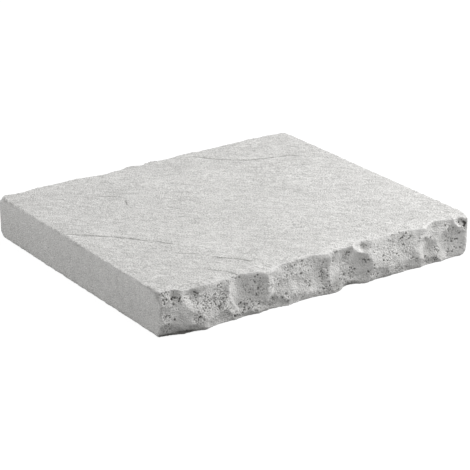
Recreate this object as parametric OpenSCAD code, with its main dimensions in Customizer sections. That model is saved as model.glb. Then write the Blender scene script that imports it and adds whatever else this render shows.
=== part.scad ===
// Wall coping stone: one cast slab that caps a garden wall.
// X runs along the wall, Y across it and Z up. The origin is the centre of the bed.
// Both long edges are tooled to a rock face, so they hang out over the wall's two sides.
// Both short ends are plain, so that neighbouring stones butt together.

/* [Stone] */
// Length along the wall, between the plain ends
stone_length = 400; // [300:10:600]
// Width across the wall, between the lines that the rock faces are tooled to
stone_width = 350; // [250:10:450]
// Thickness, from the bed to the top
stone_height = 50; // [40:5:70]

/* [Arrises] */
// How far in from the front rock face its worn top arris starts
front_wear = 18; // [8:1:20]
// How far that arris has fallen where it meets the rock face
front_fall = 6; // [1:0.5:8]
// How far in from the back rock face its worn top arris starts
back_wear = 7; // [4:1:20]
// How far that arris has fallen where it meets the rock face
back_fall = 2; // [1:0.5:6]
// Radius of the top arris along the plain ends
end_top_radius = 2; // [1:0.5:6]
// Radius of the upright arrises at the four corners
corner_radius = 1.5; // [1:0.5:8]
// Radius of the bed arris along the plain ends
end_bed_radius = 1.5; // [0.5:0.5:4]

/* [Tooling] */
// How far the high points of a rock face stand beyond its line
high_points = 2.5; // [1:0.5:4]
// Depth of the tooling, against its usual depth
tooling_depth = 1; // [0.6:0.1:1.4]

/* [Hidden] */
$fa = 3;
$fs = 1.5;
blank_width = stone_width + 2 * high_points;
past = 1; // how far a cutter runs past the face that it cuts

// The lists below are set out in millimetres on a stone of this length and height
set_out_length = 400;
set_out_height = 50;
stretch = stone_length / set_out_length;
lift = stone_height / set_out_height;

// A punch blow lifts a shell-shaped flake: [along the face, up from the bed, width, depth]
front_blows = [
    [2, 26, 56, 4], [-8, -20, 84, 13], [30, -16, 42, 4.8], [18, 45, 15, 9], [36, 40, 26, 5],
    [53, 42, 26, 3.5], [66, 40, 50, 4], [76, -2, 32, 1.8], [102, 30, 52, 7.2], [103, -8, 34, 3],
    [135, 2, 32, 2.2], [150, 30, 36, 3.5], [178, 44, 66, 5], [192, 28, 46, 4.8],
    [180, -8, 40, 1.8], [232, 26, 50, 6], [241, 18, 48, 8], [240, 1, 28, 6.5], [257, 43, 9, 7],
    [298, 58, 80, 4.5], [277, -10, 34, 2], [298, -12, 36, 2], [319, -10, 34, 2],
    [349, 23, 32, 5.5], [350, -2, 28, 2], [360, 40, 48, 6], [372, 22, 40, 5.5],
    [380, 0, 30, 1.5], [390, 44, 14, 3],
];
back_blows = [
    [14, 22, 60, 5], [40, 10, 36, 3.5], [80, 20, 44, 4.5], [112, 14, 48, 4.5],
    [126, 38, 30, 2], [152, 26, 46, 4.5], [176, 36, 36, 4], [206, 14, 50, 5],
    [236, 10, 30, 3], [262, 34, 68, 6.5], [300, 12, 40, 4], [328, 24, 38, 4],
    [352, 12, 40, 4], [376, 42, 34, 4.5],
];

// A ball that knocks off a corner or wears the arris: [along, in from the face, up, radius]
front_knocks = [
    [-4, -21, 69, 40], [22, -28, 54, 33], [155, -32, 42, 36], [212, -26, 50, 28],
    [255, -22, 54, 29], [415, -6, 3, 17], [405, -2, -8, 14],
];
back_knocks = [[-10, -8, 60, 20], [211, -4, 52, 8], [407, -9, 58, 18], [408, -9, -8, 18]];

// Radius of the ball that leaves a hollow of this width and depth
function ball_radius(width, depth) = (width * width / 4 + depth * depth) / (2 * depth);

// What a worn top arris has lost, with the sharp corner at the origin and the stone to the right
module arris_loss(wear, fall) {
    r = ball_radius(2 * wear, fall);
    difference() {
        translate([-past, -fall]) square([wear + past, fall + past]);
        translate([wear, -r]) circle(r);
    }
}

// Section across the wall, between the rock faces
module wall_section() {
    difference() {
        translate([-blank_width / 2, 0]) square([blank_width, stone_height]);
        translate([-blank_width / 2, stone_height]) arris_loss(front_wear, front_fall);
        translate([blank_width / 2, stone_height]) mirror([1, 0]) arris_loss(back_wear, back_fall);
    }
}

// Section along the wall, with a small radius on the plain ends
module end_section() {
    half = stone_length / 2;
    difference() {
        translate([-half, 0]) square([stone_length, stone_height]);
        for (side = [0, 1]) mirror([side, 0]) {
            translate([-half, stone_height]) arris_loss(end_top_radius, end_top_radius);
            translate([-half, 0]) mirror([0, 1]) arris_loss(end_bed_radius, end_bed_radius);
        }
    }
}

// Outline in plan, with rounded corners
module plan_outline() {
    r = corner_radius;
    difference() {
        square([stone_length, blank_width], center = true);
        for (side = [0, 1], edge = [0, 1]) mirror([side, 0]) mirror([0, edge])
            translate([-stone_length / 2, blank_width / 2]) arris_loss(r, r);
    }
}

// The slab as it leaves the mould
module blank() {
    intersection() {
        linear_extrude(stone_height) plan_outline();
        rotate([90, 0, 90]) linear_extrude(stone_length, center = true) wall_section();
        rotate([90, 0, 0]) linear_extrude(blank_width, center = true) end_section();
    }
}

// All that is struck off one long edge, with that edge's face at the front
module tooling(blows, knocks) {
    translate([-stone_length / 2, -stone_width / 2, 0]) {
        for (b = blows) {
            depth = b[3] * tooling_depth;
            r = ball_radius(b[2] * stretch, depth);
            translate([b[0] * stretch, depth - r, b[1] * lift]) sphere(r);
        }
        for (k = knocks) translate([k[0] * stretch, k[1], k[2] * lift]) sphere(k[3]);
    }
}

module coping_stone() {
    color([0.8, 0.8, 0.79]) difference() {
        blank();
        tooling(front_blows, front_knocks);
        rotate(180) tooling(back_blows, back_knocks);
    }
}

coping_stone();
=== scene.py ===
import math

import bpy
import numpy as np
from mathutils import Matrix, Vector, noise
from mathutils.kdtree import KDTree


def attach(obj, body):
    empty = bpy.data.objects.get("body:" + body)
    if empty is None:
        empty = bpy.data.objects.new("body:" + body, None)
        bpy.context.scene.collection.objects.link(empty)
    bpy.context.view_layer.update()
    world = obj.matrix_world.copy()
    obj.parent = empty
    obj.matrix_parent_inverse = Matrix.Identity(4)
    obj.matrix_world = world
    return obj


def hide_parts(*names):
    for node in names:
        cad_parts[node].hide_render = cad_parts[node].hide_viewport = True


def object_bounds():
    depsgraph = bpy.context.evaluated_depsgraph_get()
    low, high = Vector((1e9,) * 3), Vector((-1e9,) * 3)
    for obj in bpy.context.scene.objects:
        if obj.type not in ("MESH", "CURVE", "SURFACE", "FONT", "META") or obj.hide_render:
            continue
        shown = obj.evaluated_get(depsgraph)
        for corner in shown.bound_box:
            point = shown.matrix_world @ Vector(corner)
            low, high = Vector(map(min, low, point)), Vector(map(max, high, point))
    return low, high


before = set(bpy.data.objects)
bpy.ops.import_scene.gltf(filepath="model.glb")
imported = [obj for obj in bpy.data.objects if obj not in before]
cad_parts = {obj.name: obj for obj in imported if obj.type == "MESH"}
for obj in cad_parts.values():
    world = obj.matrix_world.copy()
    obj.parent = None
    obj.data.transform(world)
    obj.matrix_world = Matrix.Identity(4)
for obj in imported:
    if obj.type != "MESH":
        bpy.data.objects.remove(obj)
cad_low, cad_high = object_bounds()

bl_info = {
    "name": "Wall coping stone",
    "version": (1, 0, 0),
    "blender": (4, 5, 0),
    "location": "3D View > Sidebar > Coping Stone",
    "description": "Dresses a cast wall coping stone with its riven top, rock faces, pores and finish",
    "category": "Add Mesh",
}

MM = 0.001
NODE = "coping_stone"
BODY = "root"
PIECE = "cast_coping_stone"
MERGE_GAP = 0.01 * MM  # how close two corners of the CAD mesh lie when they are one
LEAST_WEIGHT = 0.001  # vertices that belong to a group by less than this stay out of it

FRONT_LINE = -175 * MM  # the line that the front rock face is tooled to
FRONT_DEPTH = 30 * MM  # how far in from that line the front rock face reaches
RIVEN_TURN = math.radians(-44)  # the riven grain, turned from the length of the wall

# Zones of the surface. Each pair says where a zone starts and where it is complete
TOP_FACING = (0.75, 0.95)  # how squarely the surface faces up
TOP_RISE = (0.7, 0.85)  # height, as a share of the stone's
END_FACING = (0.9, 0.99)  # how squarely the surface faces along the wall
END_DEPTH = 1 * MM  # how far in from its plane a plain end reaches
ROCK_RISE = (0.3 * MM, 3 * MM)  # height above the bed
ROCK_END_GAP = (0.5 * MM, 5 * MM)  # distance from the plain ends

# Relief of the rock faces
RIDGE_BEND = 18 * MM  # length of the bends in the ridges
WEAR_GAIN = 1.5  # how readily a worn patch is smoothed in full
WEAR_PASSES = 24
LUMP_SIZE = 7 * MM
LEAST_LUMPS = 0.2  # share of the lumps' height that stays where the stone is not pitted
BACK_ROUGH_SIZE = 24 * MM
BACK_ROUGH = (-0.15, 0.35)  # noise where a rough patch of the back starts and is complete
FRONT_SCATTER = 0.45  # share of that scattered roughness that the front has as well
CREST_PASSES = 12  # smoothing that the surface is set against to find its crests
CREST_RISE = 0.9 * MM

# Relief of the riven top
LEDGE_STRETCH = 3.2  # how much longer than wide the ledges are
WAVE_SIZE = 45 * MM
WAVES_TO_LEDGES = 2  # height of the waves against that of the ledges
LEDGE_SIZE = 6 * MM

# Fissures and bruised crests, which are lines
BEND_SIZE = 9 * MM  # length of the bends of a line
TIP_STRENGTH = 0.15  # share of a line's strength that is left at its tips
FISSURE_TAPER = 12  # in millimetres
BRUISE_TAPER = 6  # in millimetres
BRUISE_REACH = 2  # in millimetres
BRUISE_RISE = 1.4 * MM

# Pores
PORE_SEED = 7
PORE_TRIES = 9000
PORE_CELL = 2.6 * MM  # each cell of this size has one scattered pore at most
PORE_ROUGHNESS = 0.3  # roughness that scattered pores need
LEAST_PORE = 0.5  # radius of the smallest scattered pore, as a share of the largest
PORE_RARITY = 4  # how much rarer large pores are than small ones

# Arrises
RIM_REACH = 2.5 * MM
CHIP_SIZE = 6 * MM
CHIP_HEIGHT = 1.2 * MM
BACK_ARRIS_DEPTH = 15 * MM
BACK_ARRIS_FALL = 6 * MM
BACK_WEAR = 0.6
BACK_WEAR_SIZE = 20 * MM
BACK_WORN = (-0.1, 0.3)  # noise where a worn stretch of the back starts and is complete
ARRIS_DARK_DEPTH = 0.5 * MM  # how far in from a plain end the patchy darkening along its arrises reaches
ARRIS_DARK_SIZE = 7 * MM
ARRIS_DARKENED = (-0.1, 0.6)  # noise where a dark patch along an arris starts and is complete
LEAST_ARRIS_DARK = 0.12
ARRIS_DARK_SWING = 0.5

# Sand grains, with the share of their height that each zone has
GRAIN_SIZE = 2 * MM
GRAIN_SHARES = {"top": 0.12, "broken": 1, "end": 0.08}

# How dark the painted shade in fissures and pores is for their depth
FISSURE_DARKNESS = 1.3
PORE_DARKNESS = 1.1

# Patterns in the cement: size, share, contrast, and whether the riven grain stretches them
TONE_PATTERNS = {
    "clouds": (60 * MM, 0.08, 1.0, False),
    "mottle": (7 * MM, 0.1, 1.0, False),
    "streaks": (6 * MM, 0.18, 1.0, True),
    "fine streaks": (2.5 * MM, 0.22, 1.0, True),
    "sand": (1.6 * MM, 0.42, 1.5, False),
}
STREAK_STRETCH = 3  # how much longer than wide the streaks are

# How strongly the patterns show: on the top, and what the other zones add to that
TOP_SWING = 2.1
ROCK_SWING = -1.3
ROUGH_SWING = 1.5
END_SWING = -0.8

# Painted light and shade: how much lighter the sides are painted high up than near the bed, and
# between which shares of the stone's height
ROCK_LIFT = 0.37
END_LIFT = 0.1
LIFT_RISE = (0.3, 0.8)

# Shares of the finish that lie over the cement: bruised crests, painted shade in pores, fissures and
# dark patches, and the fine relief
BRIGHT_CREST = (0.56, 0.8)  # how sharp a crest is where it starts to brighten, and in full
CREST_SHARE = 0.8
FINE_PORE_SHARE = 0.5
PORE_AND_FISSURE_SHADE_SHARE = 0.8
SHADE_AND_STAIN_SHARE = 0.7
MOST_PAINTED_SHADE = 0.95
FINE_PORE_CELL = 2.2 * MM
FINE_PORE_REACH = 0.06  # radius of a fine pore, as a share of its cell, on smooth stone
ROUGH_PORE_REACH = 0.26  # what rough stone adds to that
FINE_PORE_EDGE = 8.0  # how steep the sides of a fine pore are
BUMP_GRAIN_SIZE = 1.6 * MM
BUMP_STREAK_SIZE = 2.2 * MM
BUMP_STREAK_SHARE = 0.5
BUMP_PORE_SHARE = -1.5
BUMP_HEIGHT = 0.7 * MM

# The stage. Directions are an azimuth from +X and an elevation, in degrees
LAMP_DISTANCE = 1.6
LAMP_SIZE = 0.8
KEY_DIRECTION = (-25, 35)
FILL_DIRECTION = (167, 20)
FLOOR_BOUNCE = 0.31  # grey of the floor to the light that falls on it
FLOOR_SHADE = 0.25  # grey that carries the stone's shadow
FLOOR_GLOW = 0.86
VIEW_REACH = 100  # how far the camera sees

# The lists below are in millimetres from the front left corner of the bed.

# Fissures of the riven top: depth, then points along the wall and across it
FISSURES = [
    (0.9, [(0, 204), (22, 184), (42, 166), (54, 151), (60, 141), (74, 127), (79, 116), (84, 109)]),
    (0.6, [(70, 92), (79, 81), (85, 77), (93, 67)]),
    (1.0, [(96, 60), (102, 53), (114, 41), (122, 30), (128, 23)]),
    (0.7, [(72, 36), (76, 31), (88, 17), (99, -3)]),
    (0.5, [(84, 295), (99, 280), (111, 270), (115, 260)]),
    (0.8, [(113, 258), (109, 253), (103, 237)]),
    (0.5, [(104, 297), (108, 293), (125, 271), (134, 264)]),
    (0.4, [(158, 256), (166, 244)]),
    (0.4, [(168, 221), (178, 199)]),
    (0.4, [(202, 321), (225, 301)]),
    (0.7, [(251, 339), (274, 310), (302, 287), (325, 280), (342, 276), (356, 270), (365, 260)]),
    (0.5, [(202, 193), (214, 181)]),
    (0.4, [(228, 107), (242, 96)]),
    (0.6, [(328, 147), (342, 134)]),
    (0.6, [(326, 20), (345, 21), (356, 9)]),
]

# Patches of the front rock face that broke open and pitted: along, up, reach along, reach up, share
PITTED_PATCHES = [
    (9, 44, 9, 7, 1.0), (5, 25, 7, 6, 0.9), (5, 10, 8, 9, 0.7), (26, 38, 8, 8, 0.55),
    (43, 34, 10, 9, 0.75), (55, 28, 10, 11, 1.0), (70, 28, 11, 16, 1.0), (43, 15, 8, 7, 0.9),
    (80, 12, 10, 7, 0.6), (93, 5, 7, 5, 0.9), (108, 11, 17, 8, 0.8), (124, 35, 4, 5, 0.5),
    (133, 33, 10, 10, 0.3), (137, 12, 10, 9, 0.55), (156, 10, 10, 7, 0.8), (164, 36, 12, 8, 0.2),
    (183, 19, 6, 9, 0.8), (204, 25, 6, 9, 0.95), (206, 8, 8, 5, 0.8), (216, 37, 6, 6, 0.7),
    (222, 4, 5, 3, 0.8), (236, 38, 6, 6, 0.8), (245, 18, 4, 3, 0.7), (259, 25, 6, 6, 1.0),
    (267, 9, 7, 8, 0.6), (258, 42, 4, 4, 0.8), (292, 26, 11, 12, 0.65), (316, 32, 14, 12, 0.45),
    (318, 40, 9, 4, 0.5), (300, 6, 30, 6, 0.5), (325, 12, 6, 7, 0.5), (343, 7, 6, 6, 0.9),
    (355, 6, 6, 5, 0.7), (359, 15, 4, 5, 0.8), (354, 43, 7, 3, 0.6), (380, 31, 13, 11, 0.5),
    (388, 14, 10, 10, 0.35), (379, 7, 7, 5, 0.9), (395, 39, 4, 6, 0.9), (393, 15, 5, 5, 0.4),
]

# Patches of the front rock face that are painted darker, as painted shade under arrises, along the bed
# and on facets turned from the lamps, and as darker stone: along, up, reach along, reach up, share
DARK_PATCHES = [
    (18, 41, 6, 5, 0.5), (1, 45, 2.5, 8, 0.6), (7, 34, 7, 4, 0.2), (10, 1, 13, 2.5, 1.3),
    (28, 2.5, 14, 2.5, 1.3), (44, 2, 8, 1.5, 0.8), (30, 6, 27, 5, 0.3), (14, 10, 18, 5, 0.2),
    (44, 44, 14, 4, 0.5), (43, 16, 4, 4, 0.25), (91, 5, 7, 4, 0.3), (108, 20, 14, 8, 0.15),
    (136, 11, 9, 10, 0.25), (129, 2, 8, 3, 0.35), (165, 43, 8, 3.5, 0.3), (191, 42, 9, 3, 0.15),
    (200, 25, 9, 11, 0.08), (219, 6, 11, 7, 0.6), (237, 41, 9, 4, 0.2), (256, 27, 8, 5, 0.08),
    (243, 2, 13, 2.5, 0.8), (258, 8, 5, 5, 0.15), (261, 40.5, 4, 3.5, 0.35),
    (313, 40, 4, 2.5, 0.2), (320, 38.5, 4, 2.5, 0.15), (300, 4, 32, 5, 0.08),
    (349, 19, 8, 10, 0.3), (345, 7, 12, 6, 0.2), (355, 5, 7, 4, 0.3), (358, 42, 7, 2.5, 0.25),
    (371, 41, 6, 2.5, 0.12), (396, 38, 3.5, 5, 0.5), (392, 42.5, 4, 3.5, 0.3),
]

# Patches of the front rock face that are worn and painted pale, partly as painted light on facets
# turned from the lamps and along the top arris: along, up, reach along, reach up, share
WORN_AND_PAINTED_LIGHT_PATCHES = [
    (29, 38, 5, 10, 0.45), (68, 47, 11, 5, 0.6), (88, 44, 5, 6, 0.7), (90, 31, 5, 9, 0.4),
    (112, 47, 13, 4, 0.5), (117, 40, 12, 6, 0.4), (142, 44, 9, 6, 0.6), (149, 36, 5, 9, 0.5),
    (132, 36, 8, 8, 0.12), (158, 12, 10, 8, 0.6), (170, 6, 12, 5, 0.4),
    (193, 12, 10, 10, 0.3), (182, 48, 8, 3, 0.4), (207, 43, 6, 6, 0.6),
    (207, 26, 4, 15, 0.4), (258, 22, 10, 10, 0.5), (249, 40, 7, 7, 0.55),
    (268, 24, 4, 11, 0.5), (268, 37, 8, 7, 0.4), (278, 8, 10, 5, 0.3),
    (285, 48, 18, 3, 0.4), (305, 11, 12, 6, 0.35),
    (312, 7, 14, 7, 0.4), (336, 46, 9, 6, 0.6), (344, 38, 5, 5, 0.3),
    (350, 41, 7, 4, 0.3), (366, 34, 6, 6, 0.4), (372, 7, 7, 6, 0.45), (378, 40, 10, 5, 0.3),
    (387, 13, 12, 13, 0.7), (390, 24, 8, 6, 0.6),
]

# Crests of the front rock face that the tool bruised: share, then points along and up
BRUISED_CRESTS = [
    (0.9, [(81, 40), (82.5, 30), (85, 23), (89, 16), (93, 11), (97, 7)]),
    (0.9, [(126.5, 8), (131, 18), (137, 25)]),
    (0.6, [(53, 10), (51, 2)]),
    (0.35, [(243, 43), (249, 39), (256, 34), (263, 29)]),
    (0.9, [(381, 44), (383.5, 42), (386, 37.5), (392, 32.5), (396, 30.5)]),
    (0.4, [(146, 33), (153, 22)]),
]

# The largest pores of the front rock face: along, up, radius
LARGE_PORES = [
    (16, 18, 1.4), (7, 24, 1.1), (10, 24, 1.0), (5, 42, 1.2), (15, 40, 1.5), (22, 40, 1.3),
    (21, 38, 1.2), (43, 16, 1.6), (37, 19, 1.0), (69, 18, 1.3), (52, 22.5, 1.0), (57, 30, 1.1),
    (75, 28, 1.0), (78, 30, 0.9), (64, 26, 1.0), (99, 15, 1.2), (98, 6, 1.2), (88, 5, 1.2),
    (118, 11, 1.0), (121, 36, 1.0), (174, 30.5, 1.4), (156, 33, 1.1), (194, 27.5, 0.9),
    (186, 19, 1.1), (181, 20.5, 0.9), (202, 26, 1.1), (207, 21, 1.0), (200, 20, 0.9),
    (234, 14, 1.3), (249, 16.5, 1.3), (259, 26, 1.3), (262, 26, 1.2), (263, 12, 1.2),
    (235, 40, 1.2), (238, 35.5, 1.1), (283, 21, 1.3), (302, 24, 1.2),
    (269, 19, 1.1), (320, 15, 1.1), (274, 3.5, 1.2), (342, 10, 1.3), (362, 13.5, 1.3),
    (357, 6, 1.1), (372, 40, 1.3), (377, 37, 1.0), (383, 35, 1.1), (382, 19, 1.3), (386, 21, 1.2),
    (388, 21.5, 1.3), (381, 22.5, 1.0), (390, 28, 1.2), (396, 39.5, 1.8), (394, 37, 1.6),
    (382, 7, 1.1), (311, 40, 1.2), (318, 37.5, 1.2), (321, 39.5, 1.0), (352, 30, 1.1),
]


class StoneSizes(bpy.types.PropertyGroup):
    """Sizes of the relief that the cast stone's surface has"""

    grid: bpy.props.FloatProperty(
        name="Grid", description="Spacing of the mesh before it is thinned",
        default=1.0 * MM, min=0.5 * MM, max=4 * MM, unit="LENGTH", precision=4)
    riven_height: bpy.props.FloatProperty(
        name="Riven height", description="Height of the ledges of the riven top",
        default=1.2 * MM, min=0, max=3 * MM, unit="LENGTH", precision=4)
    fissure_width: bpy.props.FloatProperty(
        name="Fissure width", description="Width of the fissures in the riven top",
        default=1.7 * MM, min=0.5 * MM, max=4 * MM, unit="LENGTH", precision=4)
    fissure_wander: bpy.props.FloatProperty(
        name="Fissure wander", description="How far a fissure strays from its line",
        default=0.8 * MM, min=0, max=3 * MM, unit="LENGTH", precision=4)
    rock_wander: bpy.props.FloatProperty(
        name="Rock wander", description="How far the ridges of the rock faces wander",
        default=5 * MM, min=0, max=10 * MM, unit="LENGTH", precision=4)
    rock_height: bpy.props.FloatProperty(
        name="Rock height", description="Height of the lumps of the rock faces",
        default=1.3 * MM, min=0, max=5 * MM, unit="LENGTH", precision=4)
    pore_radius: bpy.props.FloatProperty(
        name="Pore radius", description="Radius of the largest pores",
        default=1.2 * MM, min=0.8 * MM, max=3 * MM, unit="LENGTH", precision=4)
    grain_height: bpy.props.FloatProperty(
        name="Grain height", description="Height of the sand grains on the rock faces",
        default=0.9 * MM, min=0, max=2 * MM, unit="LENGTH", precision=4)
    triangles: bpy.props.IntProperty(
        name="Triangles", description="Triangles left after thinning",
        default=190000, min=20000, max=199000)


class StoneColours(bpy.types.PropertyGroup):
    """Colours of the cast stone"""

    pale: bpy.props.FloatVectorProperty(
        name="Pale", description="Cement skin where it is lightest", subtype="COLOR",
        size=4, min=0, max=1, default=(0.885, 0.878, 0.86, 1))
    deep: bpy.props.FloatVectorProperty(
        name="Deep", description="Cement skin where it is darkest", subtype="COLOR",
        size=4, min=0, max=1, default=(0.475, 0.470, 0.458, 1))
    # Painted shade: the dark colour painted into pores and fissures and onto the dark patches
    painted_shade: bpy.props.FloatVectorProperty(
        name="Hollow", description="Inside of a pore or a fissure", subtype="COLOR",
        size=4, min=0, max=1, default=(0.10, 0.097, 0.09, 1))
    # The pale colour of the bruised crests, also painted onto the worn patches as painted light
    bruise_wear_and_painted_light: bpy.props.FloatVectorProperty(
        name="Bruise", description="Crest that the tool has bruised", subtype="COLOR",
        size=4, min=0, max=1, default=(0.92, 0.911, 0.895, 1))


class StageSettings(bpy.types.PropertyGroup):
    """The camera, the lamps and the floor"""

    aim: bpy.props.FloatVectorProperty(
        name="Aim", description="The point that the camera looks at", subtype="XYZ",
        unit="LENGTH", size=3, default=(-0.1172, -0.1834, 0.0991))
    azimuth: bpy.props.FloatProperty(
        name="Azimuth", description="Direction the camera looks along, turned from +Y towards +X",
        default=math.radians(34.01), subtype="ANGLE")
    elevation: bpy.props.FloatProperty(
        name="Elevation", description="How far the camera looks down",
        default=math.radians(21.68), subtype="ANGLE")
    roll: bpy.props.FloatProperty(
        name="Roll", description="Tilt of the camera about its own line of sight",
        default=math.radians(-0.46), subtype="ANGLE")
    distance: bpy.props.FloatProperty(
        name="Distance", description="From the camera to the point that it aims at",
        default=1.908, unit="LENGTH")
    lens: bpy.props.FloatProperty(
        name="Lens", description="Focal length in millimetres", default=144.5)
    key_power: bpy.props.FloatProperty(
        name="Key lamp", description="Power of the lamp on the right", default=18, unit="POWER")
    fill_power: bpy.props.FloatProperty(
        name="Fill lamp", description="Power of the lamp on the left", default=4.4, unit="POWER")
    sky: bpy.props.FloatProperty(
        name="Sky", description="Strength of the even light from all round", default=0.6)
    floor_size: bpy.props.FloatProperty(
        name="Floor", description="Length of the floor's sides", default=12, unit="LENGTH")


def make_active(piece):
    """Makes the piece the only selected object and the active one."""
    bpy.ops.object.select_all(action="DESELECT")
    piece.select_set(True)
    bpy.context.view_layer.objects.active = piece


def places(piece):
    """The places of the piece's vertices, in metres."""
    found = np.empty(len(piece.data.vertices) * 3)
    piece.data.vertices.foreach_get("co", found)
    return found.reshape(-1, 3)


def normals(piece):
    """The directions that the piece's vertices face."""
    found = np.empty(len(piece.data.vertices) * 3)
    piece.data.vertex_normals.foreach_get("vector", found)
    return found.reshape(-1, 3)


def triangle_count(piece):
    """How many triangles the piece's faces make."""
    return sum(len(polygon.vertices) - 2 for polygon in piece.data.polygons)


def eased(values, start, end):
    """0 before start and 1 after end, with a smooth step between."""
    share = np.clip((values - start) / (end - start), 0, 1)
    return share * share * (3 - 2 * share)


def from_corner(place):
    """Places in millimetres from the front left corner of the bed."""
    return (place - np.array([cad_low.x, FRONT_LINE, cad_low.z])) / MM


def noise_at(place, size):
    """Noise from -1 to 1 at each place, with lumps about size metres across."""
    return np.array([noise.noise(Vector(point)) for point in place / size])


def weigh(piece, name, weights):
    """Gives the piece a vertex group that holds one weight for each vertex."""
    if name in piece.vertex_groups:
        piece.vertex_groups.remove(piece.vertex_groups[name])
    group = piece.vertex_groups.new(name=name)
    for index in np.flatnonzero(weights > LEAST_WEIGHT):
        group.add([int(index)], float(weights[index]), "REPLACE")


def keep_attribute(piece, name, values):
    """Gives the piece an attribute that a material can read."""
    kept = piece.data.attributes.new(name, "FLOAT", "POINT")
    kept.data.foreach_set("value", values.astype(np.float32))


def apply_modifier(piece, name, kind, **settings):
    """Adds a modifier with these settings and applies it."""
    modifier = piece.modifiers.new(name, kind)
    for setting, value in settings.items():
        setattr(modifier, setting, value)
    make_active(piece)
    bpy.ops.object.modifier_apply(modifier=modifier.name)


def new_noise(name, size, **settings):
    """A procedural cloud texture whose lumps are about size metres across."""
    texture = bpy.data.textures.new(name, "CLOUDS")
    texture.noise_scale = size
    for setting, value in settings.items():
        setattr(texture, setting, value)
    return texture


def riven_guide():
    """An empty that stretches a pattern along the riven grain."""
    bpy.ops.object.empty_add(rotation=(0, 0, RIVEN_TURN))
    guide = bpy.context.object
    guide.scale = (LEDGE_STRETCH, 1, 1)
    bpy.context.view_layer.update()
    return guide


def displace(piece, group, texture, height, direction="NORMAL", guide=None):
    """Moves the group's vertices by the texture, up to height from lowest to highest."""
    settings = {"texture_coords": "LOCAL"}
    if guide:
        settings = {"texture_coords": "OBJECT", "texture_coords_object": guide}
    apply_modifier(piece, texture.name, "DISPLACE", texture=texture, strength=height,
                   mid_level=0.5, direction=direction, vertex_group=group, **settings)


def sink(piece, group, depth, direction="NORMAL"):
    """Lowers the group's vertices by depth times their weight."""
    apply_modifier(piece, "Sink " + group, "DISPLACE", strength=-depth, mid_level=0,
                   direction=direction, vertex_group=group)


def merged_copy(node, name):
    """A copy of a CAD node as one closed mesh."""
    piece = bpy.data.objects.new(name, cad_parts[node].data.copy())
    bpy.context.scene.collection.objects.link(piece)
    make_active(piece)
    bpy.ops.object.mode_set(mode="EDIT")
    bpy.ops.mesh.select_all(action="SELECT")
    bpy.ops.mesh.remove_doubles(threshold=MERGE_GAP)
    bpy.ops.object.mode_set(mode="OBJECT")
    return piece


def refine(piece, chosen):
    """Cuts the edges between the chosen vertices in half."""
    make_active(piece)
    bpy.ops.object.mode_set(mode="EDIT")
    bpy.ops.mesh.select_mode(type="VERT")
    bpy.ops.mesh.select_all(action="DESELECT")
    bpy.ops.object.mode_set(mode="OBJECT")
    piece.data.vertices.foreach_set("select", chosen)
    bpy.ops.object.mode_set(mode="EDIT")
    bpy.ops.mesh.subdivide(number_cuts=1)
    bpy.ops.object.mode_set(mode="OBJECT")


def zone_weights(piece):
    """How far each vertex belongs to the top, the rock faces and the plain ends."""
    place, facing = places(piece), normals(piece)
    height = cad_high.z - cad_low.z
    end_gap = cad_high.x - np.abs(place[:, 0])
    rises = [share * height for share in TOP_RISE]
    top = eased(facing[:, 2], *TOP_FACING) * eased(place[:, 2], *rises)
    end = eased(np.abs(facing[:, 0]), *END_FACING) * (end_gap < END_DEPTH)
    rock = (1 - top) * eased(place[:, 2], *ROCK_RISE) * eased(end_gap, *ROCK_END_GAP)
    return top, rock, end


def front_vertices(place):
    """The numbers of the vertices on the front rock face."""
    return np.flatnonzero(place[:, 1] < FRONT_LINE + FRONT_DEPTH)


def patch_weights(piece, patches):
    """How far each vertex of the front rock face lies in one of the patches."""
    place = places(piece)
    in_front = front_vertices(place)
    spot = from_corner(place[in_front])
    found = np.zeros(len(spot))
    for along, up, reach_along, reach_up, share in patches:
        gap = ((spot[:, 0] - along) / reach_along) ** 2 + ((spot[:, 2] - up) / reach_up) ** 2
        found = np.maximum(found, share * np.exp(-gap * gap))
    weights = np.zeros(len(place))
    weights[in_front] = found
    return weights


def rough_weights(piece, rock):
    """How rough the broken stone is: the front's patches, and scattered ones on the back."""
    place = places(piece)
    on_rock = np.flatnonzero(rock > 0)
    scattered = np.zeros(len(place))
    scattered[on_rock] = eased(noise_at(place[on_rock], BACK_ROUGH_SIZE), *BACK_ROUGH)
    at_front = np.maximum(patch_weights(piece, PITTED_PATCHES), FRONT_SCATTER * scattered)
    return rock * np.clip(np.where(place[:, 1] > 0, scattered, at_front), 0, 1)


def line_weights(spot, lines, reach, taper):
    """How near each spot is to one of the lines, which fade out over taper at their ends."""
    found = np.zeros(len(spot))
    for share, line in lines:
        line = np.array(line, float)
        lengths = np.linalg.norm(np.diff(line, axis=0), axis=1)
        run = np.concatenate([[0], np.cumsum(lengths)])
        for start, end, length, before in zip(line, line[1:], lengths, run):
            part = np.clip((spot - start) @ (end - start) / length**2, 0, 1)
            gap = np.linalg.norm(spot - start - part[:, None] * (end - start), axis=1)
            along = before + part * length
            fade = np.minimum(1, np.minimum(along, run[-1] - along) / taper + TIP_STRENGTH)
            found = np.maximum(found, share * fade * np.exp(-((gap / reach) ** 2)))
    return found


def strayed(place, axes, wander):
    """The places along two axes, in millimetres from the corner, each moved by up to wander."""
    spot = from_corner(place)[:, axes]
    spot[:, 0] += wander / MM * noise_at(place, BEND_SIZE)
    spot[:, 1] += wander / MM * noise_at(place + 1, BEND_SIZE)
    return spot


def fissure_weights(piece, sizes, top):
    """Depth of the fissures at each vertex, in millimetres."""
    place = places(piece)
    on_top = np.flatnonzero(top > 0)
    plan = strayed(place[on_top], [0, 1], sizes.fissure_wander)
    reach = sizes.fissure_width / MM / 2
    weights = np.zeros(len(place))
    weights[on_top] = line_weights(plan, FISSURES, reach, FISSURE_TAPER) * top[on_top]
    return weights


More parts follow.
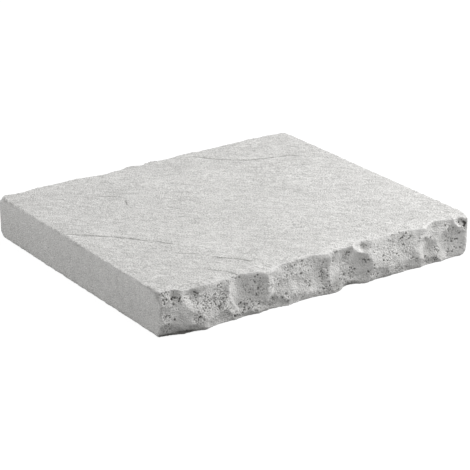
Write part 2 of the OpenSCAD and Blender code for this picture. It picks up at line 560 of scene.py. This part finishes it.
def bruise_weights(piece, sizes):
    """How bruised each vertex of the front rock face is, along its crests."""
    place = places(piece)
    in_front = front_vertices(place)
    spot = strayed(place[in_front], [0, 2], sizes.fissure_wander)
    weights = np.zeros(len(place))
    weights[in_front] = line_weights(spot, BRUISED_CRESTS, BRUISE_REACH, BRUISE_TAPER)
    return weights


def pore_centres(piece, rough, largest):
    """The vertex that each pore is centred on, and its radius."""
    random = np.random.default_rng(PORE_SEED)
    place = places(piece)
    in_front = front_vertices(place)
    spot = from_corner(place[in_front])[:, [0, 2]]
    for along, up, radius in LARGE_PORES:
        gap = np.linalg.norm(spot - (along, up), axis=1)
        yield in_front[gap.argmin()], radius * MM
    taken = set()
    pitted = np.flatnonzero(rough > PORE_ROUGHNESS)
    for index in random.choice(pitted, PORE_TRIES, replace=False):
        cell = tuple((place[index] // PORE_CELL).astype(int))
        if cell not in taken and random.random() < rough[index] ** 2:
            taken.add(cell)
            share = LEAST_PORE + (1 - LEAST_PORE) * random.random() ** PORE_RARITY
            yield index, share * largest


def pore_weights(piece, rough, largest):
    """Depth of the pores at each vertex, as a share of the largest pore's radius."""
    place = places(piece)
    tree = KDTree(len(place))
    for index, point in enumerate(place):
        tree.insert(point, index)
    tree.balance()
    weights = np.zeros(len(place))
    for centre, radius in pore_centres(piece, rough, largest):
        for _, index, gap in tree.find_range(place[centre], radius):
            depth = math.sqrt(1 - (gap / radius) ** 2) * radius / largest
            weights[index] = max(weights[index], depth)
    return np.clip(weights, 0, 1)


def crest_weights(piece):
    """How sharply the surface stands out: 0.5 where flat, 1 on a crest and 0 in a groove."""
    before, facing = places(piece), normals(piece)
    smooth = piece.copy()
    smooth.data = piece.data.copy()
    bpy.context.scene.collection.objects.link(smooth)
    apply_modifier(smooth, "Even", "SMOOTH", factor=0.5, iterations=CREST_PASSES)
    proud = ((before - places(smooth)) * facing).sum(axis=1)
    bpy.data.objects.remove(smooth)
    return np.clip(0.5 + proud / CREST_RISE, 0, 1)


def rim_weights(piece):
    """How near each vertex of a plain end is to one of its long arrises."""
    place = places(piece)
    rise = np.minimum(cad_high.z - place[:, 2], place[:, 2] - cad_low.z)
    end_gap = cad_high.x - np.abs(place[:, 0])
    return np.exp(-((rise / RIM_REACH) ** 2)) * (end_gap < RIM_REACH)


def worn_weights(piece):
    """How worn each vertex of the rock faces is, which also paints it pale: the front's patches, which
    are partly painted light, and stretches at the back.
    """
    place = places(piece)
    near_back = place[:, 1] > cad_high.y - BACK_ARRIS_DEPTH
    near_top = cad_high.z - place[:, 2] < BACK_ARRIS_FALL
    arris = np.flatnonzero(near_back & near_top)
    stretches = np.zeros(len(place))
    stretches[arris] = BACK_WEAR * eased(noise_at(place[arris], BACK_WEAR_SIZE), *BACK_WORN)
    worn = np.maximum(patch_weights(piece, WORN_AND_PAINTED_LIGHT_PATCHES), stretches)
    return worn * (1 - zone_weights(piece)[0])


def shade_and_stain_weights(piece):
    """How dark each vertex is painted: the front's patches, which are painted shade and darker stone,
    and patchy darkening along the ends' arrises.
    """
    place = places(piece)
    rim = rim_weights(piece) * (np.abs(place[:, 0]) > cad_high.x - ARRIS_DARK_DEPTH)
    near = np.flatnonzero(rim > 0.01)
    arris_noise = eased(noise_at(place[near], ARRIS_DARK_SIZE), *ARRIS_DARKENED)
    arris_darkening = np.zeros(len(place))
    arris_darkening[near] = LEAST_ARRIS_DARK + ARRIS_DARK_SWING * arris_noise
    dark = patch_weights(piece, DARK_PATCHES) * (1 - zone_weights(piece)[2])
    return np.maximum(dark, rim * arris_darkening)


def model_rock_faces(piece, sizes):
    """The ridges wander, then lumps rise where the stone broke open."""
    rock = zone_weights(piece)[1]
    weigh(piece, "rock", rock)
    wander = new_noise("Wander", RIDGE_BEND, noise_depth=2, cloud_type="COLOR")
    displace(piece, "rock", wander, sizes.rock_wander, direction="RGB_TO_XYZ")
    weigh(piece, "worn", np.minimum(1, WEAR_GAIN * worn_weights(piece)))
    apply_modifier(piece, "Wear", "SMOOTH", factor=0.5, iterations=WEAR_PASSES,
                   vertex_group="worn")
    refine(piece, rock > 0.5)
    rock = zone_weights(piece)[1]
    rough = rough_weights(piece, rock)
    keep_attribute(piece, "crest", crest_weights(piece))
    keep_attribute(piece, "rock_face", rock)
    keep_attribute(piece, "rough_face", rough)
    weigh(piece, "broken", rock * (LEAST_LUMPS + (1 - LEAST_LUMPS) * rough))
    displace(piece, "broken", new_noise("Lumps", LUMP_SIZE, noise_depth=3), sizes.rock_height)
    return rough


def model_riven_top(piece, sizes):
    """Low waves and ledges along the riven grain, then the fissures."""
    top = zone_weights(piece)[0]
    weigh(piece, "top", top)
    guide = riven_guide()
    waves = new_noise("Waves", WAVE_SIZE, noise_depth=1)
    displace(piece, "top", waves, WAVES_TO_LEDGES * sizes.riven_height, guide=guide)
    ledges = new_noise("Ledges", LEDGE_SIZE, noise_depth=3, noise_type="HARD_NOISE")
    displace(piece, "top", ledges, sizes.riven_height, guide=guide)
    bpy.data.objects.remove(guide)
    fissures = fissure_weights(piece, sizes, top)
    weigh(piece, "fissures", fissures)
    sink(piece, "fissures", MM, direction="Z")
    return fissures


class COPING_OT_stone(bpy.types.Operator):
    """Model the stone's riven top, rock faces and pores"""

    bl_idname = "coping.stone"
    bl_label = "Coping Stone"

    def execute(self, context):
        sizes = context.scene.coping_sizes
        piece = merged_copy(NODE, PIECE)
        apply_modifier(piece, "Grid", "REMESH", mode="VOXEL", voxel_size=sizes.grid)
        rough = model_rock_faces(piece, sizes)
        fissures = model_riven_top(piece, sizes)
        bruises = bruise_weights(piece, sizes)
        weigh(piece, "crests", bruises)
        sink(piece, "crests", -BRUISE_RISE)
        pores = pore_weights(piece, rough, sizes.pore_radius) * (1 - bruises)
        weigh(piece, "pores", pores)
        sink(piece, "pores", sizes.pore_radius)
        weigh(piece, "end", zone_weights(piece)[2])
        weigh(piece, "rim", rim_weights(piece))
        displace(piece, "rim", new_noise("Chipped", CHIP_SIZE, noise_depth=2), CHIP_HEIGHT)
        grain = new_noise("Grain", GRAIN_SIZE, noise_depth=2)
        for zone, share in GRAIN_SHARES.items():
            displace(piece, zone, grain, share * sizes.grain_height)
        # Painted shade in the fissures and pores, darker where they are deeper
        pore_and_fissure_shade = np.maximum(FISSURE_DARKNESS * fissures, PORE_DARKNESS * pores)
        keep_attribute(piece, "pore_and_fissure_shade", np.clip(pore_and_fissure_shade, 0, 1))
        # Painted shade and darker stone on the front's patches, and patchy darkening along the ends'
        # arrises
        keep_attribute(piece, "shade_and_stain", shade_and_stain_weights(piece) * (1 - bruises))
        # Bruised crests, and the worn patches, which are partly painted light
        keep_attribute(piece, "bruised", np.maximum(bruises, worn_weights(piece)))
        keep_attribute(piece, "end_face", zone_weights(piece)[2])
        thinned = min(1, sizes.triangles / triangle_count(piece))
        apply_modifier(piece, "Thin", "DECIMATE", ratio=thinned)
        make_active(piece)
        bpy.ops.object.shade_smooth()
        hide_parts(NODE)
        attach(piece, BODY)
        return {"FINISHED"}


def new_material(name):
    """An empty node material."""
    material = bpy.data.materials.new(name)
    material.use_nodes = True
    material.node_tree.nodes.clear()
    return material, material.node_tree


def add_node(tree, kind, inputs=None, **settings):
    """Adds a node. inputs gives each input socket a value, or another node's output to read."""
    node = tree.nodes.new("ShaderNode" + kind)
    for setting, value in settings.items():
        setattr(node, setting, value)
    for socket, value in (inputs or {}).items():
        if isinstance(value, bpy.types.NodeSocket):
            tree.links.new(value, node.inputs[socket])
        else:
            node.inputs[socket].default_value = value
    return node


def ramp(tree, value, start, end):
    """0 where the value is start or less and 1 where it is end or more."""
    node = add_node(tree, "MapRange", {"Value": value, "From Min": start, "From Max": end})
    return node.outputs["Result"]


def pattern(tree, place, size, contrast=1.0):
    """Noise whose lumps are about size metres across, as a number from 0 to 1."""
    node = add_node(tree, "TexNoise", {"Vector": place, "Scale": 1 / size, "Detail": 2})
    return ramp(tree, node.outputs["Fac"], 0.5 - 0.25 / contrast, 0.5 + 0.25 / contrast)


def maths(tree, operation, *values, clamp=False):
    """One sum on numbers or sockets."""
    node = add_node(tree, "Math", dict(enumerate(values)), operation=operation, use_clamp=clamp)
    return node.outputs[0]


def mixed(tree, parts):
    """The sum of each number times its share."""
    total = 0.0
    for value, share in parts:
        total = maths(tree, "MULTIPLY_ADD", value, share, total)
    return total


def blend(tree, factor, first, second):
    """Mixes two colours."""
    node = add_node(tree, "Mix", {"Factor": factor}, data_type="RGBA")
    for socket, value in ((node.inputs[6], first), (node.inputs[7], second)):
        if isinstance(value, bpy.types.NodeSocket):
            tree.links.new(value, socket)
        else:
            socket.default_value = value
    return node.outputs[2]


def attribute(tree, name):
    """The value of one of the piece's own attributes."""
    return add_node(tree, "Attribute", attribute_name=name).outputs["Fac"]


def riven_place(tree, place):
    """Object coordinates that stretch a pattern along the riven grain."""
    node = add_node(tree, "Mapping", {"Vector": place, "Rotation": (0, 0, RIVEN_TURN),
                                      "Scale": (STREAK_STRETCH, 1, 1)},
                    vector_type="TEXTURE")
    return node.outputs["Vector"]


def fine_pores(tree, place, rough):
    """Small round pores, which are more and larger where the stone is rough."""
    cells = add_node(tree, "TexVoronoi", {"Vector": place, "Scale": 1 / FINE_PORE_CELL})
    reach = maths(tree, "MULTIPLY_ADD", rough, ROUGH_PORE_REACH, FINE_PORE_REACH)
    depth = maths(tree, "SUBTRACT", reach, cells.outputs["Distance"])
    return maths(tree, "MULTIPLY", depth, FINE_PORE_EDGE, clamp=True)


def stone_tone(tree, place, rock, rough, end, lift):
    """Lightness of the cement from 0 to 1: its patterns, about a middle that rises with lift, the
    painted light that makes the sides lighter high up than near the bed.
    """
    riven = riven_place(tree, place)
    parts = []
    for size, share, contrast, stretched in TONE_PATTERNS.values():
        parts.append((pattern(tree, riven if stretched else place, size, contrast), share))
    tone = maths(tree, "SUBTRACT", mixed(tree, parts), 0.5)
    swing = mixed(tree, [(1.0, TOP_SWING), (rock, ROCK_SWING), (rough, ROUGH_SWING),
                         (end, END_SWING)])
    rise = mixed(tree, [(rock, ROCK_LIFT), (end, END_LIFT)])
    middle = maths(tree, "MULTIPLY_ADD", lift, rise, 0.5)
    return maths(tree, "MULTIPLY_ADD", tone, swing, middle, clamp=True)


def stone_brightness(tree, rock):
    """How far the colour turns to the pale one: on the sharp crests that the tool bruised, and on the
    worn patches, which are partly painted light.
    """
    crest = ramp(tree, attribute(tree, "crest"), *BRIGHT_CREST)
    sharp = maths(tree, "MULTIPLY", maths(tree, "MULTIPLY", crest, CREST_SHARE), rock)
    return maths(tree, "MAXIMUM", sharp, attribute(tree, "bruised"))


def stone_painted_shade(tree, pores):
    """How far the colour turns to the painted shade: in pores and fissures, on the front's dark
    patches and along the ends' arrises.
    """
    pore_and_fissure_shade = mixed(tree, [(pores, FINE_PORE_SHARE), (attribute(tree, "pore_and_fissure_shade"), PORE_AND_FISSURE_SHADE_SHARE),
                        (attribute(tree, "shade_and_stain"), SHADE_AND_STAIN_SHARE)])
    return maths(tree, "MINIMUM", pore_and_fissure_shade, MOST_PAINTED_SHADE)


def stone_bump(tree, place, pores):
    """The finest relief: sand, fine pores and riven streaks."""
    sand = pattern(tree, place, BUMP_GRAIN_SIZE)
    streaks = pattern(tree, riven_place(tree, place), BUMP_STREAK_SIZE)
    relief = mixed(tree, [(sand, 1.0), (pores, BUMP_PORE_SHARE), (streaks, BUMP_STREAK_SHARE)])
    bump = add_node(tree, "Bump", {"Height": relief, "Strength": 1.0, "Distance": BUMP_HEIGHT})
    return bump.outputs["Normal"]


def stone_material(colours):
    """Cast stone: its cement, with bright bruised crests, painted light on worn patches and high up
    the sides, and painted shade in hollows and dark patches.
    """
    material, tree = new_material("Cast stone")
    place = add_node(tree, "TexCoord").outputs["Object"]
    rock, rough = attribute(tree, "rock_face"), attribute(tree, "rough_face")
    pores = fine_pores(tree, place, rough)
    height = add_node(tree, "SeparateXYZ", {"Vector": place}).outputs["Z"]
    # Painted light and shade: the sides are painted lighter high up and darker near the bed
    lift = ramp(tree, height, *[share * cad_high.z for share in LIFT_RISE])
    tone = stone_tone(tree, place, rock, rough, attribute(tree, "end_face"), lift)
    colour = blend(tree, tone, colours.deep, colours.pale)
    # Bruised crests, and painted light on the worn patches
    colour = blend(tree, stone_brightness(tree, rock), colour, colours.bruise_wear_and_painted_light)
    # Painted shade in pores and fissures and on the dark patches
    colour = blend(tree, stone_painted_shade(tree, pores), colour, colours.painted_shade)
    shader = add_node(tree, "BsdfPrincipled", {
        "Base Color": colour, "Roughness": 0.9, "Specular IOR Level": 0.25,
        "Normal": stone_bump(tree, place, pores)})
    add_node(tree, "OutputMaterial", {"Surface": shader.outputs["BSDF"]})
    return material


class COPING_OT_finish(bpy.types.Operator):
    """Give the stone its cast finish"""

    bl_idname = "coping.finish"
    bl_label = "Cast Finish"

    def execute(self, context):
        piece = bpy.data.objects[PIECE]
        piece.data.materials.clear()
        piece.data.materials.append(stone_material(context.scene.coping_colours))
        return {"FINISHED"}


def camera_axes(stage):
    """The camera's right, up and back directions."""
    az, el, roll = stage.azimuth, stage.elevation, stage.roll
    right = Vector((math.cos(az), -math.sin(az), 0))
    ahead = Vector((math.sin(az) * math.cos(el), math.cos(az) * math.cos(el), -math.sin(el)))
    up = right.cross(ahead)
    turned_right = math.cos(roll) * right + math.sin(roll) * up
    turned_up = math.cos(roll) * up - math.sin(roll) * right
    return turned_right, turned_up, -ahead


def add_camera(stage):
    """The camera, at its distance from the point that it aims at."""
    right, up, back = camera_axes(stage)
    bpy.ops.object.camera_add()
    camera = bpy.context.object
    camera.data.lens = stage.lens
    camera.data.clip_end = VIEW_REACH
    turn = Matrix((right, up, back)).transposed()
    place = Vector(stage.aim) + back * stage.distance
    camera.matrix_world = Matrix.Translation(place) @ turn.to_4x4()
    bpy.context.scene.camera = camera


def add_lamp(name, direction, power):
    """A square lamp, in this direction from the stone."""
    azimuth, elevation = (math.radians(angle) for angle in direction)
    level = math.cos(elevation)
    towards = Vector((level * math.cos(azimuth), level * math.sin(azimuth), math.sin(elevation)))
    bpy.ops.object.light_add(type="AREA", location=towards * LAMP_DISTANCE)
    lamp = bpy.context.object
    lamp.name = name
    lamp.data.shape = "SQUARE"
    lamp.data.size = LAMP_SIZE
    lamp.data.energy = power
    lamp.rotation_euler = towards.to_track_quat("Z", "Y").to_euler()


def matt_grey(tree, grey):
    """A matt surface of one grey, which only the stage uses."""
    return add_node(tree, "BsdfDiffuse", {"Color": (grey, grey, grey, 1)}).outputs[0]


def floor_material():
    """White to the camera, with the stone's shadow, and grey to the light that falls on it."""
    material, tree = new_material("Floor")
    bounce = matt_grey(tree, FLOOR_BOUNCE)
    shaded = matt_grey(tree, FLOOR_SHADE)
    glow = add_node(tree, "Emission", {"Strength": FLOOR_GLOW}).outputs[0]
    seen = add_node(tree, "AddShader", {0: shaded, 1: glow}).outputs[0]
    from_camera = add_node(tree, "LightPath").outputs["Is Camera Ray"]
    pick = add_node(tree, "MixShader", {0: from_camera, 1: bounce, 2: seen})
    add_node(tree, "OutputMaterial", {"Surface": pick.outputs[0]})
    return material


def add_world(strength):
    """Even white light from all round."""
    world = bpy.data.worlds.new("Studio")
    world.use_nodes = True
    background = world.node_tree.nodes["Background"]
    background.inputs["Color"].default_value = (1, 1, 1, 1)
    background.inputs["Strength"].default_value = strength
    bpy.context.scene.world = world


class COPING_OT_stage(bpy.types.Operator):
    """Set up the floor, the lamps and the camera"""

    bl_idname = "coping.stage"
    bl_label = "Stage"

    def execute(self, context):
        stage = context.scene.coping_stage
        context.scene.view_settings.view_transform = "Standard"
        bpy.ops.mesh.primitive_plane_add(size=stage.floor_size, location=(0, 0, cad_low.z))
        floor = context.object
        floor.name = "floor"
        floor.data.materials.append(floor_material())
        add_lamp("Key", KEY_DIRECTION, stage.key_power)
        add_lamp("Fill", FILL_DIRECTION, stage.fill_power)
        add_world(stage.sky)
        add_camera(stage)
        return {"FINISHED"}


class COPING_PT_panel(bpy.types.Panel):
    """Panel with the stone's steps"""

    bl_idname = "COPING_PT_panel"
    bl_label = "Coping Stone"
    bl_space_type = "VIEW_3D"
    bl_region_type = "UI"
    bl_category = "Coping Stone"

    def draw(self, context):
        for operator in OPERATORS:
            self.layout.operator(operator.bl_idname)


OPERATORS = (COPING_OT_stone, COPING_OT_finish, COPING_OT_stage)
SETTINGS = {"coping_sizes": StoneSizes, "coping_colours": StoneColours, "coping_stage": StageSettings}


def register():
    """Makes the settings, the operators and the panel known."""
    for group in SETTINGS.values():
        bpy.utils.register_class(group)
    for name, group in SETTINGS.items():
        setattr(bpy.types.Scene, name, bpy.props.PointerProperty(type=group))
    for operator in OPERATORS:
        bpy.utils.register_class(operator)
    bpy.utils.register_class(COPING_PT_panel)


def unregister():
    """Takes them all away again."""
    bpy.utils.unregister_class(COPING_PT_panel)
    for operator in reversed(OPERATORS):
        bpy.utils.unregister_class(operator)
    for name in SETTINGS:
        delattr(bpy.types.Scene, name)
    for group in SETTINGS.values():
        bpy.utils.unregister_class(group)


def main():
    """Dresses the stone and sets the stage."""
    register()
    bpy.ops.coping.stone()
    bpy.ops.coping.finish()
    bpy.ops.coping.stage()


if __name__ == "__main__":
    main()
